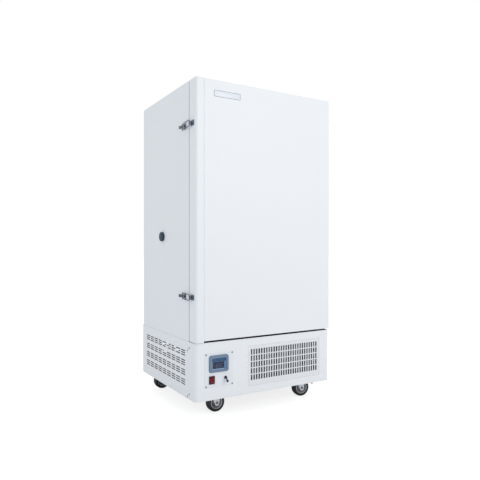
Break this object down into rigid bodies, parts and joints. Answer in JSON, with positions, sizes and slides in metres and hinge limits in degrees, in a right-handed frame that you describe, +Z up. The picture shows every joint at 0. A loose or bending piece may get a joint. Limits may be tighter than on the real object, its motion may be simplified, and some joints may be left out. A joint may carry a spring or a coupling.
{
  "type": "laboratory freezer",
  "caption": "Upright laboratory freezer: insulated cabinet with a latched door and side test port on a ventilated machine base with controls and swivel casters.",
  "frame": {"origin": "on the floor, under the middle of the outline at rest", "axes": "+X to the right of a person facing the door, +Y from the door towards the back, +Z up"},
  "size_m": [0.7972, 0.7068, 1.565],
  "materials": {
    "cabinet_white": "smooth powder coat",
    "door_white": "smooth powder coat",
    "edge_white": "powder-coated aluminium extrusion",
    "base_white": "smooth powder coat",
    "chassis_grey": "satin paint",
    "stainless_liner": "brushed",
    "white_plastic": "fine grain",
    "insulation": "rigid foam",
    "gasket_grey": "soft extrusion",
    "port_rubber": "dark moulded rubber",
    "copper_pipe": "drawn copper",
    "latch_steel": "bright plated steel",
    "hinge_steel": "zinc-plated steel",
    "screw_steel": "plated",
    "inlet_black": "moulded",
    "controller_blue": "moulded, painted",
    "display_glass": "clear, dark behind",
    "key_blue": "soft touch",
    "switch_black": "moulded",
    "rocker_red": "moulded",
    "toggle_blue": "dipped sleeve",
    "compressor_black": "gloss stove enamel",
    "condenser_metal": "bare fins",
    "shroud_sheet": "satin paint",
    "motor_metal": "painted casting",
    "fan_plastic": "moulded",
    "caster_steel": "bright plated steel",
    "hub_steel": "bright plated steel",
    "tyre_black": "solid rubber",
    "pedal_steel": "plated steel",
    "pedal_red": "dipped red"
  },
  "bodies": {
    "cabinet": {"outer_shell": "cabinet_white", "rear_panel": "cabinet_white", "base_front_panel": "base_white", "grille_insert": "base_white", "left_louvre_panel": "base_white", "right_louvre_panel": "base_white", "rear_grille": "base_white", "control_plate": "base_white", "base_chassis": "chassis_grey", "inner_liner": "stainless_liner", "shelves": "stainless_liner", "shelf_rails": "stainless_liner", "breaker_frame": "white_plastic", "port_sleeve": "white_plastic", "cabinet_foam": "insulation", "evaporator_coil": "copper_pipe", "refrigerant_pipes": "copper_pipe", "latch_bases": "latch_steel", "hinge_brackets": "hinge_steel", "screws": "screw_steel", "power_inlet": "inlet_black", "controller_housing": "controller_blue", "display_window": "display_glass", "switch_housings": "switch_black", "compressor": "compressor_black", "condenser": "condenser_metal", "fan_shroud": "shroud_sheet", "fan_motor": "motor_metal", "caster_plates": "caster_steel"},
    "door": {"door_panel": "door_white", "door_edge_profile": "edge_white", "door_caps": "white_plastic", "door_foam": "insulation", "door_liner": "white_plastic", "door_gasket": "gasket_grey", "latch_keepers": "latch_steel"},
    "upper_lever": {"upper_latch_lever": "latch_steel"},
    "upper_link": {"upper_latch_link": "latch_steel"},
    "lower_lever": {"lower_latch_lever": "latch_steel"},
    "lower_link": {"lower_latch_link": "latch_steel"},
    "port_plug": {"port_plug": "port_rubber"},
    "lower_key": {"lower_key": "key_blue"},
    "upper_key": {"upper_key": "key_blue"},
    "rocker": {"rocker_button": "rocker_red"},
    "toggle": {"toggle_lever": "toggle_blue"},
    "fan": {"fan_rotor": "fan_plastic"},
    "front_left_fork": {"front_left_fork": "caster_steel"},
    "front_left_wheel": {"front_left_hub": "hub_steel", "front_left_tyre": "tyre_black"},
    "front_right_fork": {"front_right_fork": "caster_steel"},
    "front_right_wheel": {"front_right_hub": "hub_steel", "front_right_tyre": "tyre_black"},
    "rear_left_fork": {"rear_left_fork": "caster_steel"},
    "rear_left_wheel": {"rear_left_hub": "hub_steel", "rear_left_tyre": "tyre_black"},
    "rear_right_fork": {"rear_right_fork": "caster_steel"},
    "rear_right_wheel": {"rear_right_hub": "hub_steel", "rear_right_tyre": "tyre_black"},
    "front_left_pedal": {"front_left_pedal": "pedal_steel"},
    "front_right_pedal": {"front_right_pedal": "pedal_red"}
  },
  "joints": [
    {"name": "door_hinge", "type": "hinge", "parent": "cabinet", "child": "door", "pos_m": [0.381, -0.2931, 0.365], "axis": [0, 0, 1], "range_deg": [0, 110]},
    {"name": "upper_lever_pivot", "type": "hinge", "parent": "cabinet", "child": "upper_lever", "pos_m": [-0.39, -0.2171, 1.358], "axis": [0, 0, 1], "range_deg": [0, 150]},
    {"name": "upper_link_pivot", "type": "hinge", "parent": "upper_lever", "child": "upper_link", "pos_m": [-0.39, -0.2051, 1.358], "axis": [0, 0, 1], "range_deg": [-165, 0]},
    {"name": "lower_lever_pivot", "type": "hinge", "parent": "cabinet", "child": "lower_lever", "pos_m": [-0.39, -0.2171, 0.563], "axis": [0, 0, 1], "range_deg": [0, 150]},
    {"name": "lower_link_pivot", "type": "hinge", "parent": "lower_lever", "child": "lower_link", "pos_m": [-0.39, -0.2051, 0.563], "axis": [0, 0, 1], "range_deg": [-165, 0]},
    {"name": "port_plug_pull", "type": "slide", "parent": "cabinet", "child": "port_plug", "axis": [-1, 0, 0], "range_m": [0, 0.1]},
    {"name": "lower_key_press", "type": "slide", "parent": "cabinet", "child": "lower_key", "axis": [0, 1, 0], "range_m": [0, 0.001], "stiffness_N_per_m": 150},
    {"name": "upper_key_press", "type": "slide", "parent": "cabinet", "child": "upper_key", "axis": [0, 1, 0], "range_m": [0, 0.001], "stiffness_N_per_m": 150},
    {"name": "rocker_tilt", "type": "hinge", "parent": "cabinet", "child": "rocker", "pos_m": [-0.2995, -0.3236, 0.1825], "axis": [1, 0, 0], "range_deg": [0, 10]},
    {"name": "toggle_throw", "type": "hinge", "parent": "cabinet", "child": "toggle", "pos_m": [-0.228, -0.3299, 0.187], "axis": [-1, 0, 0], "range_deg": [0, 84]},
    {"name": "fan_spin", "type": "hinge", "parent": "cabinet", "child": "fan", "pos_m": [0.105, -0.2051, 0.2095], "axis": [0, 1, 0], "continuous": true},
    {"name": "front_left_swivel", "type": "hinge", "parent": "cabinet", "child": "front_left_fork", "pos_m": [-0.249, -0.2191, 0.098], "axis": [0, 0, 1], "continuous": true},
    {"name": "front_left_roll", "type": "hinge", "parent": "front_left_fork", "child": "front_left_wheel", "pos_m": [-0.227, -0.2191, 0.045], "axis": [0, 1, 0], "continuous": true},
    {"name": "front_right_swivel", "type": "hinge", "parent": "cabinet", "child": "front_right_fork", "pos_m": [0.263, -0.2191, 0.098], "axis": [0, 0, 1], "continuous": true},
    {"name": "front_right_roll", "type": "hinge", "parent": "front_right_fork", "child": "front_right_wheel", "pos_m": [0.28467, -0.22292, 0.045], "axis": [0.1736, 0.9848, 0], "continuous": true},
    {"name": "rear_left_swivel", "type": "hinge", "parent": "cabinet", "child": "rear_left_fork", "pos_m": [-0.273, 0.2909, 0.098], "axis": [0, 0, 1], "continuous": true},
    {"name": "rear_left_roll", "type": "hinge", "parent": "rear_left_fork", "child": "rear_left_wheel", "pos_m": [-0.295, 0.2909, 0.045], "axis": [0, -1, 0], "continuous": true},
    {"name": "rear_right_swivel", "type": "hinge", "parent": "cabinet", "child": "rear_right_fork", "pos_m": [0.287, 0.2909, 0.098], "axis": [0, 0, 1], "continuous": true},
    {"name": "rear_right_roll", "type": "hinge", "parent": "rear_right_fork", "child": "rear_right_wheel", "pos_m": [0.26633, 0.28338, 0.045], "axis": [0.342, -0.9397, 0], "continuous": true},
    {"name": "front_left_brake", "type": "hinge", "parent": "front_left_fork", "child": "front_left_pedal", "pos_m": [-0.22, -0.2191, 0.084], "axis": [0, 1, 0], "range_deg": [0, 15]},
    {"name": "front_right_brake", "type": "hinge", "parent": "front_right_fork", "child": "front_right_pedal", "pos_m": [0.29156, -0.22414, 0.084], "axis": [0.1736, 0.9848, 0], "range_deg": [0, 15]}
  ],
  "couplings": [
    {"joint": "upper_link_pivot", "follows": "upper_lever_pivot", "ratio": -1.1},
    {"joint": "lower_link_pivot", "follows": "lower_lever_pivot", "ratio": -1.1}
  ]
}
